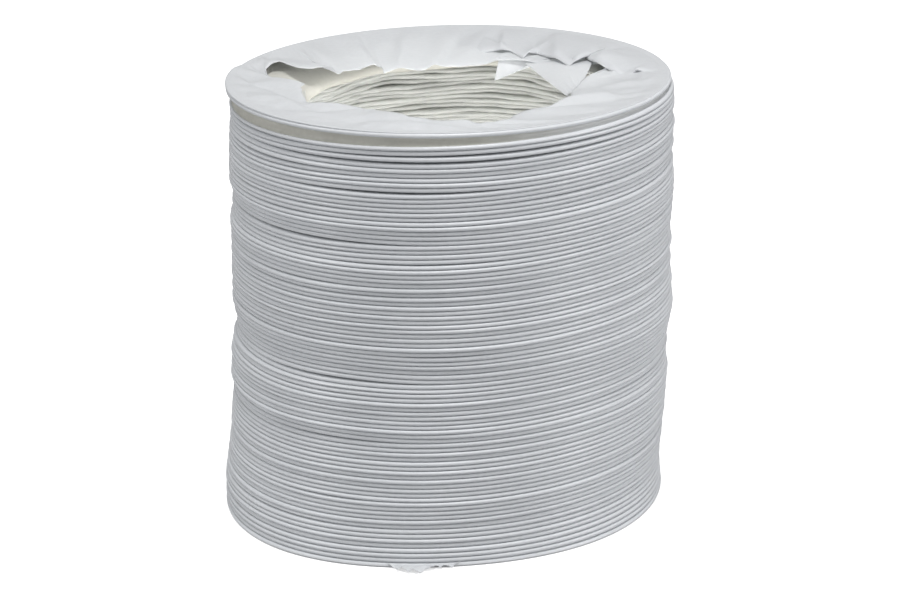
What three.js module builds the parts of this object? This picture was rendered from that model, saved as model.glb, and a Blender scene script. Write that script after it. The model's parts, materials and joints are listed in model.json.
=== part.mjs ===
// A film duct hose, pushed together along its axis into a short stack.
//
// A spring-steel wire is wound into a helix and bonded into a thin PVC film. Between two wire turns the film
// folds inward, so the pushed-together hose is a stack of film-covered rings round an open bore.
// The wall is modelled as bands of whole and half turns. Between two bands the hose either stretches or bends.
// Above the top band a neck of free film leads to the rim wire, and the loose cut end of the film lies inward
// over the mouth. The other cut end is tucked under the lowest turn.
//
// Units are millimetres and +Z is up. The origin is on the hose's axis, at the surface that the hose stands on.

import * as THREE from "three";

// Driving dimensions.
const COIL_RADIUS = 51.4; // from the axis to the wire's centre line
const WIRE_DIAMETER = 0.8;
const TURN_PITCH = 1.085; // height that one wire turn and its film take when pushed together
const PLEAT_INNER_RADIUS = 35; // where the inward film folds end, which is the bore
const GAP = 0.3; // clearance between neighbouring pieces
const FILM_SHEET = 0.5; // thickness that a loose, crumpled film layer takes
const NECK_HEIGHT = 2.4; // free film between the top turn and the rim wire

// Turns in each band, from the bottom up. Each joint between two bands lets the hose stretch or bend there.
const END_BAND_TURNS = 3;
const STRETCH_AND_BEND_TURNS = 4.5; // a band with a stretch joint on one side and a bend joint on the other
const STRETCH_ONLY_TURNS = 6; // a band between two stretch joints
const BEND_COUNT = 6;

// Whole turns are counted from the back of the hose, which is the +Y side.
const FIRST_TURN_ANGLE = Math.PI / 2;

// Fineness of the round shapes.
const STEPS_PER_TURN = 16;
const RING_SEGMENTS = 32;
const SHEET_SEGMENTS = 40;

// Sizes that follow from the driving dimensions.
const WIRE_RADIUS = WIRE_DIAMETER / 2;
const CHORD_SAG = COIL_RADIUS * (1 - Math.cos(Math.PI / STEPS_PER_TURN));
const PLEAT_OUTER_RADIUS = COIL_RADIUS - CHORD_SAG - WIRE_RADIUS - GAP;
const STACK_BASE = FILM_SHEET + GAP; // where the first film ring starts
const WIRE_BASE = STACK_BASE + TURN_PITCH / 2; // where the wire's centre line starts

const film = { color: 0xdfe3e6, roughness: 0.42, metalness: 0 };
const looseFilm = { color: 0xe6eaed, roughness: 0.5, metalness: 0 };
const neckFilm = { color: 0xb4b6a6, roughness: 0.55, metalness: 0 };
const steel = { color: 0x9a9da0, roughness: 0.35, metalness: 1 };

function addMesh(parent, name, geometry, finish) {
  const mesh = new THREE.Mesh(geometry, new THREE.MeshStandardMaterial(finish));
  mesh.name = name;
  parent.add(mesh);
  return mesh;
}

// A plain ring with a rectangular section, standing on z = 0 of its own frame.
function ringGeometry(innerRadius, outerRadius, height, segments) {
  const section = [
    new THREE.Vector2(innerRadius, 0),
    new THREE.Vector2(outerRadius, 0),
    new THREE.Vector2(outerRadius, height),
    new THREE.Vector2(innerRadius, height),
    new THREE.Vector2(innerRadius, 0),
  ];
  return new THREE.LatheGeometry(section, segments).rotateX(Math.PI / 2);
}

// The centre line of the wire, which climbs one pitch for each turn.
class WireHelix extends THREE.Curve {
  constructor(startTurn, turns) {
    super();
    this.startTurn = startTurn;
    this.turns = turns;
  }

  getPoint(t, target = new THREE.Vector3()) {
    const turn = this.startTurn + t * this.turns;
    const angle = FIRST_TURN_ANGLE + turn * 2 * Math.PI;
    return target.set(COIL_RADIUS * Math.cos(angle), COIL_RADIUS * Math.sin(angle), turn * TURN_PITCH);
  }
}

// A stretch of the wire. It stops short at its upper end, so that it stays clear of the next stretch.
function wireGeometry(startTurn, turns) {
  const endGap = (WIRE_DIAMETER + GAP) / (2 * Math.PI * COIL_RADIUS);
  const path = new WireHelix(startTurn, turns - endGap);
  const section = new THREE.Shape();
  section.moveTo(WIRE_RADIUS, 0);
  section.lineTo(0, WIRE_RADIUS);
  section.lineTo(-WIRE_RADIUS, 0);
  section.lineTo(0, -WIRE_RADIUS);
  section.closePath();
  return new THREE.ExtrudeGeometry(section, {
    steps: Math.round(turns * STEPS_PER_TURN),
    extrudePath: path,
    bevelEnabled: false,
  });
}

// A flat sheet of film with a round outside and an oval hole, standing on z = 0 of its own frame.
// A tongue can stand out of its front edge.
function sheetGeometry(outerRadius, hole, tongue) {
  const outline = new THREE.Shape();
  if (tongue) {
    const start = -Math.PI / 2 + tongue.halfAngle;
    const end = (3 * Math.PI) / 2 - tongue.halfAngle;
    outline.absarc(0, 0, outerRadius, start, end, false);
    outline.absarc(0, 0, tongue.radius, end + tongue.taper, start - tongue.taper + 2 * Math.PI, false);
    outline.closePath();
  } else {
    outline.absarc(0, 0, outerRadius, 0, 2 * Math.PI, false);
  }
  const opening = new THREE.Path();
  opening.absellipse(hole.x, hole.y, hole.halfWidth, hole.halfDepth, 0, 2 * Math.PI, true);
  outline.holes.push(opening);
  return new THREE.ExtrudeGeometry(outline, {
    depth: FILM_SHEET,
    curveSegments: SHEET_SEGMENTS,
    bevelEnabled: false,
  });
}

// The turns in each band, from the bottom up.
function bandTurns() {
  const turns = [END_BAND_TURNS];
  for (let bend = 0; bend < BEND_COUNT; bend += 1) {
    turns.push(STRETCH_AND_BEND_TURNS, STRETCH_AND_BEND_TURNS);
    turns.push(bend < BEND_COUNT - 1 ? STRETCH_ONLY_TURNS : END_BAND_TURNS);
  }
  return turns;
}

// The bands, each a stretch of wire round a ring of folded film. Returns the number of turns in all.
function addBands(parent) {
  let turn = 0;
  bandTurns().forEach((turns, index) => {
    const number = String(index + 1).padStart(2, "0");
    const base = STACK_BASE + turn * TURN_PITCH;

    const wire = addMesh(parent, `wire_turns_${number}`, wireGeometry(turn, turns), steel);
    wire.position.z = WIRE_BASE;

    const height = turns * TURN_PITCH - GAP;
    const pleats = ringGeometry(PLEAT_INNER_RADIUS, PLEAT_OUTER_RADIUS, height, RING_SEGMENTS);
    addMesh(parent, `film_pleats_${number}`, pleats, film).position.z = base;

    turn += turns;
  });
  return turn;
}

// The bottom end: the cut end of the film, tucked flat under the lowest turn, with a tongue left at the front.
function addBottomEnd(parent) {
  const opening = { x: 0, y: 0, halfWidth: PLEAT_INNER_RADIUS + 2, halfDepth: PLEAT_INNER_RADIUS + 2 };
  const tongue = { radius: COIL_RADIUS + 1, halfAngle: 0.17, taper: 0.03 };
  addMesh(parent, "bottom_film_end", sheetGeometry(COIL_RADIUS - 0.5, opening, tongue), looseFilm);
}

// The top end: a neck of free film, the rim wire, and the torn film collar folded in over the mouth.
function addTopEnd(parent, turns) {
  const neckBase = STACK_BASE + turns * TURN_PITCH;
  const neckOuter = PLEAT_OUTER_RADIUS;
  const neckInner = neckOuter - FILM_SHEET;
  const rimHeight = neckBase + NECK_HEIGHT + WIRE_RADIUS;

  const neck = ringGeometry(neckInner, neckOuter, rimHeight - neckBase, RING_SEGMENTS);
  addMesh(parent, "neck_film", neck, neckFilm).position.z = neckBase;

  // The rim turn is the same helix, one turn long, so it is lowered by what the helix had climbed.
  const rim = addMesh(parent, "rim_wire", wireGeometry(turns, 1), steel);
  rim.position.z = rimHeight - (turns + 0.5) * TURN_PITCH;

  // The loose end covers more of the mouth at the back than at the front.
  const mouth = { x: -3, y: -9, halfWidth: 32, halfDepth: 28.5 };
  const collarBase = rimHeight + TURN_PITCH / 2 + WIRE_RADIUS + GAP;
  const collar = addMesh(parent, "top_film_collar", sheetGeometry(COIL_RADIUS, mouth), looseFilm);
  collar.position.z = collarBase;
}

const hose = new THREE.Group();
const turnCount = addBands(hose);
addBottomEnd(hose);
addTopEnd(hose, turnCount);

export default hose;
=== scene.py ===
"""A film duct hose, pushed together along its axis into a short white stack.

A thin PVC film is bonded over a spring-steel wire helix. Between two wire turns the film folds inward in one
pleat, so the pushed-together hose shows a bead for every turn outside and a fold for every turn inside. The
loose cut end of the film lies crumpled over the mouth, and the other end is tucked under the stack.
Everything is in metres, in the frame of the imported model: the axis is +Z and the front is -Y.
"""

import json
import logging
import math
from dataclasses import dataclass, field
from enum import Enum

import bpy
import numpy as np
from mathutils import Matrix, Vector


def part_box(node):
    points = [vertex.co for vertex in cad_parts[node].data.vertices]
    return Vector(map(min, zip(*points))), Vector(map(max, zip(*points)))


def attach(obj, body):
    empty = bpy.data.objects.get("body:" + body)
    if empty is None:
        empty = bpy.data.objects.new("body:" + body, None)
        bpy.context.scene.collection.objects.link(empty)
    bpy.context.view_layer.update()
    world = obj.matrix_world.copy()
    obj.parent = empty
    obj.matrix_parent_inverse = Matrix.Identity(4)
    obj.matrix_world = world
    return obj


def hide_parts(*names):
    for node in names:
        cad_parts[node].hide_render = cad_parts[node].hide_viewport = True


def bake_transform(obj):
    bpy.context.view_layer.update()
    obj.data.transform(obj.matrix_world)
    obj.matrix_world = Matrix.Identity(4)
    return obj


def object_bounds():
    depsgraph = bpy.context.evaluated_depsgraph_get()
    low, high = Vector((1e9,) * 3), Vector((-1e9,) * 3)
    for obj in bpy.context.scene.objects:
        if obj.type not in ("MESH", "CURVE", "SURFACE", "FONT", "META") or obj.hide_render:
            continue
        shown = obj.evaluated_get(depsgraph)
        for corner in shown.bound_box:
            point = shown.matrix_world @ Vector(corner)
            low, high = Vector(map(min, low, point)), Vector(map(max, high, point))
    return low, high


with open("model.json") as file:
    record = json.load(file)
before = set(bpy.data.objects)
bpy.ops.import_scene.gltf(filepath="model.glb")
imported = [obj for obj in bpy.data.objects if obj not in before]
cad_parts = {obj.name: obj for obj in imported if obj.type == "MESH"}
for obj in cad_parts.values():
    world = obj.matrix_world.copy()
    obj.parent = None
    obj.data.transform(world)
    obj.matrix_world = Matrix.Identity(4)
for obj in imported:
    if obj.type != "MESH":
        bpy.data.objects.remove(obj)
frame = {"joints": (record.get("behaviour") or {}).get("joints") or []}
CAD_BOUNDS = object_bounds()

log = logging.getLogger("film_duct_hose")

MM = 0.001
TURN_COUNT = 90
FRONT_TURN = 0.5  # whole turns are counted from the back, so the front is half a turn on
BACK_ANGLE = math.pi / 2
BAND_GAP = 0.3 * MM  # clearance between two packed bands
WIRE_RADIUS = 0.4 * MM
LOOSE_FILM = 0.12 * MM  # thickness of a loose film layer


class Slot(Enum):
    """The record's material slots."""

    WALL = "film_wall"
    LOOSE = "loose_film"
    NECK = "neck_film"
    WIRE = "spring_wire"


class Facing(Enum):
    """Which way a mesh grid closes."""

    OPEN = 0
    ROUND = 1


# ---------------------------------------------------------------------------------------------------------
# Shape of the stack
# ---------------------------------------------------------------------------------------------------------


@dataclass(frozen=True)
class OpenGap:
    """A gap between two turns that stands open over part of the way round.

    turn is the lower of the two turns, facing its middle in degrees from the front (right is positive), reach
    how far it runs to each side in degrees, and opening its widest height in millimetres.
    """

    turn: float
    facing: float
    reach: float
    opening: float

    def whole(self, turns: np.ndarray) -> np.ndarray:
        """Return how high the gap stands open at each place's angle, in metres.

        Args:
            turns: places on the helix, in turns from its lower end.

        Returns:
            The opening, which is 0 outside the gap's reach.
        """
        middle = FRONT_TURN + self.facing / 360
        away = (turns - middle + 0.5) % 1 - 0.5
        return self.opening * MM * np.cos(np.clip(away * 360 / self.reach, -1, 1) * math.pi / 2) ** 2

    def lift(self, turns: np.ndarray) -> np.ndarray:
        """Return how far the gap lifts each place on the helix, in metres.

        Args:
            turns: places on the helix, in turns from its lower end.

        Returns:
            The lift, which is 0 for the turns under the gap.
        """
        middle = FRONT_TURN + self.facing / 360
        above = np.floor(turns - middle + 0.5) > math.floor(self.turn)
        return self.whole(turns) * above


@dataclass(frozen=True)
class Ripple:
    """Seeded smooth waviness along the helix.

    size is the height of the waves in metres, around the most waves in one turn, and drift how fast the pattern
    changes from one turn to the next, in waves.
    """

    seed: int
    size: float
    around: int
    drift: float
    parts: int = 14

    def at(self, turns: np.ndarray) -> np.ndarray:
        """Return the waviness, which is the same for the same seed.

        Args:
            turns: places on the helix, in turns.

        Returns:
            The waviness at each place, in metres.
        """
        rng = np.random.default_rng(self.seed)
        waves = rng.integers(0, self.around + 1, self.parts)
        drifts = rng.uniform(-self.drift, self.drift, self.parts)
        phases = rng.uniform(0, 2 * math.pi, self.parts)
        total = np.zeros_like(turns, dtype=float)
        for wave, drift, phase in zip(waves, drifts, phases):
            total += np.sin(2 * math.pi * (wave + drift) * turns + phase)
        return self.size * total / math.sqrt(self.parts / 2)


OPEN_GAPS = (
    OpenGap(turn=88, facing=-62, reach=40, opening=0.30),
    OpenGap(turn=88, facing=55, reach=24, opening=0.15),
    OpenGap(turn=87, facing=14, reach=84, opening=0.42),
    OpenGap(turn=86, facing=-4, reach=104, opening=0.50),
    OpenGap(turn=84, facing=-58, reach=44, opening=0.38),
    OpenGap(turn=80, facing=-16, reach=50, opening=0.45),
    OpenGap(turn=77, facing=35, reach=40, opening=0.16),
    OpenGap(turn=74, facing=-48, reach=30, opening=0.18),
    OpenGap(turn=69, facing=-40, reach=44, opening=0.42),
    OpenGap(turn=65, facing=-8, reach=48, opening=0.26),
    OpenGap(turn=60, facing=-45, reach=32, opening=0.20),
    OpenGap(turn=55, facing=-50, reach=30, opening=0.16),
    OpenGap(turn=45, facing=-4, reach=26, opening=0.18),
    OpenGap(turn=43, facing=-58, reach=34, opening=0.28),
    OpenGap(turn=39, facing=-34, reach=40, opening=0.38),
    OpenGap(turn=34, facing=-60, reach=30, opening=0.16),
    OpenGap(turn=26, facing=-38, reach=44, opening=0.36),
    OpenGap(turn=20, facing=-64, reach=30, opening=0.18),
    OpenGap(turn=13, facing=-33, reach=30, opening=0.24),
    OpenGap(turn=8, facing=24, reach=40, opening=0.14),
    OpenGap(turn=75, facing=150, reach=60, opening=0.36),
    OpenGap(turn=52, facing=120, reach=50, opening=0.36),
    OpenGap(turn=33, facing=-150, reach=60, opening=0.34),
    OpenGap(turn=18, facing=170, reach=50, opening=0.32),
)

# Where the rings sit sideways: height and shift to the right, both in millimetres, on top of the lean.
SIDE_SHIFTS = (
    (0, 0.6), (8, 0.2), (13, 0.6), (20, 1.2), (28, 1.7), (35, 1.1), (40, 1.4),
    (45, 2.5), (50, 1.8), (57, 1.3), (65, 1.1), (70, 0.9), (76, 1.6), (83, 0.6),
    (87, 0.6), (93, 0.85), (98, 0.95), (101, 0.0), (103, 0.0),
)


@dataclass
class Stack:
    """Where the wire of the pushed-together hose runs, with the sag and unevenness of a soft stack."""

    bead_radius: float = 0.52 * MM  # wire with the film over it
    coil_radius: float = 51.45 * MM
    floor_wire: float = 0.56 * MM  # the lowest turn's centre above the floor
    lean: float = 5.8 * MM  # how far the top sits to the right of the bottom
    settle_turns: float = 9.0  # the turns over which a flat-lying start becomes an even helix
    climb_share: float = 0.34  # the part of a turn in which the wire climbs over its own start
    foot_flare: float = 0.6 * MM  # how far the lowest turns stand out all round
    flare_turns: float = 6.0  # the turns over which the flare fades
    foot_spread: float = 1.7 * MM  # how far the lowest turns stand out at the front left and front right
    spread_turns: float = 5.0  # the turns over which the spread fades
    sway: float = 0.4 * MM  # how far the stack sways to the front and the back
    sway_bends: float = 5.0  # radians of the sway over the stack's height
    spacing: Ripple = Ripple(seed=11, size=0.045 * MM, around=3, drift=0.5)
    bulge: Ripple = Ripple(seed=23, size=0.10 * MM, around=2, drift=0.12)
    stagger: Ripple = Ripple(seed=29, size=0.11 * MM, around=2, drift=0.5, parts=24)
    ring_shift: Ripple = Ripple(seed=37, size=0.07 * MM, around=0, drift=0.5)
    base: float = field(init=False)
    pitch: float = field(init=False)

    def __post_init__(self) -> None:
        """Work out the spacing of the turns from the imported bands."""
        self.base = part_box("film_pleats_01")[0][2]
        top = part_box("film_pleats_19")[1][2] + BAND_GAP
        self.pitch = (top - self.base) / TURN_COUNT

    def height(self, turns: np.ndarray) -> np.ndarray:
        """Return the height of the wire's centre.

        Args:
            turns: places on the helix, in turns from its lower end.

        Returns:
            The height at each place, above the floor.
        """
        part = turns % 1
        climb = np.clip((part - 1 + self.climb_share) / self.climb_share, 0, 1)
        climb = climb * climb * (3 - 2 * climb)
        flat = np.clip(1 - turns / self.settle_turns, 0, 1)
        even = turns + flat * (climb - part)
        top_wire = self.base + (TURN_COUNT + 0.5) * self.pitch
        rise = even * (top_wire - self.floor_wire) / TURN_COUNT
        share = np.clip(turns / TURN_COUNT, 0, 1)
        for gap in OPEN_GAPS:
            rise = rise + gap.lift(turns) - gap.whole(turns) * share
        return self.floor_wire + rise + self.spacing.at(turns) * np.sin(math.pi * share)

    def radius(self, turns: np.ndarray) -> np.ndarray:
        """Return the distance of the wire's centre from the stack's own middle.

        Args:
            turns: places on the helix, in turns from its lower end.

        Returns:
            The distance at each place.
        """
        flare = self.foot_flare * np.exp(-turns / self.flare_turns)
        to_front = 0.5 - 0.5 * np.cos(2 * math.pi * turns)
        spread = self.foot_spread * np.exp(-turns / self.spread_turns)
        corners = spread * to_front * np.sin(4 * math.pi * turns) ** 2
        return self.coil_radius + self.bulge.at(turns) + self.stagger.at(turns) + flare + corners

    def middle(self, height: np.ndarray) -> tuple[np.ndarray, np.ndarray]:
        """Return the stack's middle at each height.

        Args:
            height: heights above the floor.

        Returns:
            How far to the right it is, and how far to the back.
        """
        heights, shifts = zip(*SIDE_SHIFTS)
        total = CAD_BOUNDS[1][2]
        side = self.lean * (np.clip(height / total, 0, 1) - 0.5)
        side = side + np.interp(height, np.array(heights) * MM, np.array(shifts) * MM)
        return side, self.sway * np.sin(height / total * self.sway_bends)

    def place(self, turns: np.ndarray, radius: np.ndarray, height: np.ndarray) -> np.ndarray:
        """Return points at a radius and a height beside places on the helix.

        Args:
            turns: places on the helix.
            radius: distances from the stack's middle.
            height: heights above the floor.

        Returns:
            An array of points, with x, y and z last.
        """
        angle = BACK_ANGLE + turns * 2 * math.pi
        side, back = self.middle(height)
        shift = self.ring_shift.at(turns)
        x = radius * np.cos(angle) + side + shift
        y = radius * np.sin(angle) + back
        return np.stack([x, y, height], axis=-1)


# ---------------------------------------------------------------------------------------------------------
# Meshes
# ---------------------------------------------------------------------------------------------------------


def make_piece(
    name: str, points: np.ndarray, faces: list[tuple[int, ...]], smooth: bool = True
) -> bpy.types.Object:
    """Make a mesh object and put it in the scene.

    Args:
        name: the piece's name.
        points: its vertices, one row each.
        faces: vertex numbers of each face.
        smooth: whether its faces are shaded smooth.

    Returns:
        The new object.
    """
    mesh = bpy.data.meshes.new(name)
    mesh.from_pydata(points.reshape(-1, 3).tolist(), [], faces)
    mesh.update()
    mesh.polygons.foreach_set("use_smooth", [smooth] * len(mesh.polygons))
    piece = bpy.data.objects.new(name, mesh)
    bpy.context.scene.collection.objects.link(piece)
    return piece


def grid_faces(columns: int, rows: int, facing: Facing) -> list[tuple[int, ...]]:
    """Return the faces of a grid whose vertices are stored column by column.

    Args:
        columns: number of columns.
        rows: vertices in each column.
        facing: whether the last column joins the first.

    Returns:
        Four vertex numbers for each face.
    """
    last = columns if facing is Facing.ROUND else columns - 1
    faces = []
    for column in range(last):
        here = column * rows
        there = (column + 1) % columns * rows
        for row in range(rows - 1):
            faces.append((here + row, there + row, there + row + 1, here + row + 1))
    return faces


def tube(name: str, path: np.ndarray, radius: float, sides: int) -> bpy.types.Object:
    """Make a round tube with closed ends along a path that winds round the Z axis.

    Args:
        name: the piece's name.
        path: the centre line's points.
        radius: the tube's radius.
        sides: how many sides its section has.

    Returns:
        The new object.
    """
    along = np.gradient(path, axis=0)
    along /= np.linalg.norm(along, axis=1, keepdims=True)
    across = np.cross(along, (0.0, 0.0, 1.0))
    across /= np.linalg.norm(across, axis=1, keepdims=True)
    upward = np.cross(across, along)
    turn = np.linspace(0, 2 * math.pi, sides, endpoint=False)
    ring = across[:, None, :] * np.cos(turn)[None, :, None] + upward[:, None, :] * np.sin(turn)[None, :, None]
    points = path[:, None, :] + radius * ring
    faces = []
    for step in range(len(path) - 1):
        for side in range(sides):
            a = step * sides + side
            b = step * sides + (side + 1) % sides
            faces.append((a, b, b + sides, a + sides))
    end = (len(path) - 1) * sides
    faces.append(tuple(reversed(range(sides))))
    faces.append(tuple(range(end, end + sides)))
    return make_piece(name, points, faces)


def thicken(piece: bpy.types.Object, thickness: float) -> None:
    """Give a sheet its thickness and apply it.

    Args:
        piece: the sheet.
        thickness: in metres.
    """
    solid = piece.modifiers.new("thickness", "SOLIDIFY")
    solid.thickness = thickness
    solid.offset = 0
    apply_modifiers(piece)


def soften(piece: bpy.types.Object, thickness: float) -> None:
    """Round a coarse sheet with one subdivision, then give it its thickness.

    Args:
        piece: the sheet.
        thickness: in metres.
    """
    piece.modifiers.new("round", "SUBSURF").levels = 1
    thicken(piece, thickness)


def apply_modifiers(piece: bpy.types.Object) -> None:
    """Replace a piece's mesh by what its modifiers make of it.

    Args:
        piece: the piece. Its modifiers are gone afterwards.
    """
    graph = bpy.context.evaluated_depsgraph_get()
    graph.update()
    mesh = bpy.data.meshes.new_from_object(piece.evaluated_get(graph))
    piece.modifiers.clear()
    piece.data = mesh


# ---------------------------------------------------------------------------------------------------------
# Finishes
# ---------------------------------------------------------------------------------------------------------


def new_group(name: str, inputs: dict[str, tuple[str, object]], outputs: dict[str, str]) -> bpy.types.NodeTree:
    """Make an empty shader node group with named sockets.

    Args:
        name: the group's name.
        inputs: socket type and default value of each input.
        outputs: socket type of each output.

    Returns:
        The group's node tree, with its input and output nodes in place.
    """
    group = bpy.data.node_groups.new(name, "ShaderNodeTree")
    for label, (kind, value) in inputs.items():
        socket = group.interface.new_socket(label, in_out="INPUT", socket_type=kind)
        socket.default_value = value
    for label, kind in outputs.items():
        group.interface.new_socket(label, in_out="OUTPUT", socket_type=kind)
    group.nodes.new("NodeGroupInput")
    group.nodes.new("NodeGroupOutput")
    return group


def film_tone_group() -> bpy.types.NodeTree:
    """Make the group that clouds a film's colour, as its thickness and its handling vary.

    Returns:
        The group. Color is the clouded colour. Gloss is 0 where the film is clear and 1 where it is clouded.
    """
    group = new_group(
        "film_tone",
        {
            "Clear": ("NodeSocketColor", (0.8, 0.8, 0.8, 1)),
            "Clouded": ("NodeSocketColor", (0.7, 0.7, 0.7, 1)),
            "Cloud Scale": ("NodeSocketFloat", 60.0),
            "Speck Scale": ("NodeSocketFloat", 900.0),
        },
        {"Color": "NodeSocketColor", "Gloss": "NodeSocketFloat"},
    )
    nodes, links = group.nodes, group.links
    source, target = nodes["Group Input"], nodes["Group Output"]
    place = nodes.new("ShaderNodeTexCoord")
    cloud = nodes.new("ShaderNodeTexNoise")
    cloud.inputs["Detail"].default_value = 3
    speck = nodes.new("ShaderNodeTexNoise")
    speck.inputs["Detail"].default_value = 2
    links.new(place.outputs["Object"], cloud.inputs["Vector"])
    links.new(place.outputs["Object"], speck.inputs["Vector"])
    links.new(source.outputs["Cloud Scale"], cloud.inputs["Scale"])
    links.new(source.outputs["Speck Scale"], speck.inputs["Scale"])
    blend = nodes.new("ShaderNodeMath")
    blend.operation = "MULTIPLY"
    links.new(cloud.outputs["Fac"], blend.inputs[0])
    links.new(speck.outputs["Fac"], blend.inputs[1])
    spread = nodes.new("ShaderNodeMapRange")
    spread.inputs["From Min"].default_value = 0.12
    spread.inputs["From Max"].default_value = 0.42
    links.new(blend.outputs[0], spread.inputs["Value"])
    mix = nodes.new("ShaderNodeMix")
    mix.data_type = "RGBA"
    links.new(spread.outputs["Result"], mix.inputs["Factor"])
    links.new(source.outputs["Clear"], mix.inputs["A"])
    links.new(source.outputs["Clouded"], mix.inputs["B"])
    links.new(mix.outputs["Result"], target.inputs["Color"])
    links.new(spread.outputs["Result"], target.inputs["Gloss"])
    return group


def film_crinkle_group() -> bpy.types.NodeTree:
    """Make the group of the fine crinkles in a thin film.

    Returns:
        The group. Height goes into a bump.
    """
    group = new_group(
        "film_crinkle",
        {
            "Crease Scale": ("NodeSocketFloat", 180.0),
            "Crease Depth": ("NodeSocketFloat", 0.6),
            "Ripple Scale": ("NodeSocketFloat", 600.0),
            "Ripple Depth": ("NodeSocketFloat", 0.3),
        },
        {"Height": "NodeSocketFloat"},
    )
    nodes, links = group.nodes, group.links
    source, target = nodes["Group Input"], nodes["Group Output"]
    place = nodes.new("ShaderNodeTexCoord")
    warp = nodes.new("ShaderNodeTexNoise")
    warp.inputs["Scale"].default_value = 70.0
    links.new(place.outputs["Object"], warp.inputs["Vector"])
    shift = nodes.new("ShaderNodeVectorMath")
    shift.operation = "SCALE"
    shift.inputs["Scale"].default_value = 0.006
    links.new(warp.outputs["Color"], shift.inputs[0])
    warped = nodes.new("ShaderNodeVectorMath")
    warped.operation = "ADD"
    links.new(place.outputs["Object"], warped.inputs[0])
    links.new(shift.outputs[0], warped.inputs[1])
    crease = nodes.new("ShaderNodeTexVoronoi")
    crease.feature = "DISTANCE_TO_EDGE"
    links.new(warped.outputs[0], crease.inputs["Vector"])
    links.new(source.outputs["Crease Scale"], crease.inputs["Scale"])
    soft = nodes.new("ShaderNodeMapRange")
    soft.interpolation_type = "SMOOTHSTEP"
    soft.inputs["From Max"].default_value = 0.35
    links.new(crease.outputs["Distance"], soft.inputs["Value"])
    ripple = nodes.new("ShaderNodeTexNoise")
    ripple.inputs["Detail"].default_value = 2
    links.new(place.outputs["Object"], ripple.inputs["Vector"])
    links.new(source.outputs["Ripple Scale"], ripple.inputs["Scale"])
    deep = nodes.new("ShaderNodeMath")
    deep.operation = "MULTIPLY"
    links.new(soft.outputs["Result"], deep.inputs[0])
    links.new(source.outputs["Crease Depth"], deep.inputs[1])
    total = nodes.new("ShaderNodeMath")
    total.operation = "MULTIPLY_ADD"
    links.new(ripple.outputs["Fac"], total.inputs[0])
    links.new(source.outputs["Ripple Depth"], total.inputs[1])
    links.new(deep.outputs[0], total.inputs[2])
    links.new(total.outputs[0], target.inputs["Height"])
    return group


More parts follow.
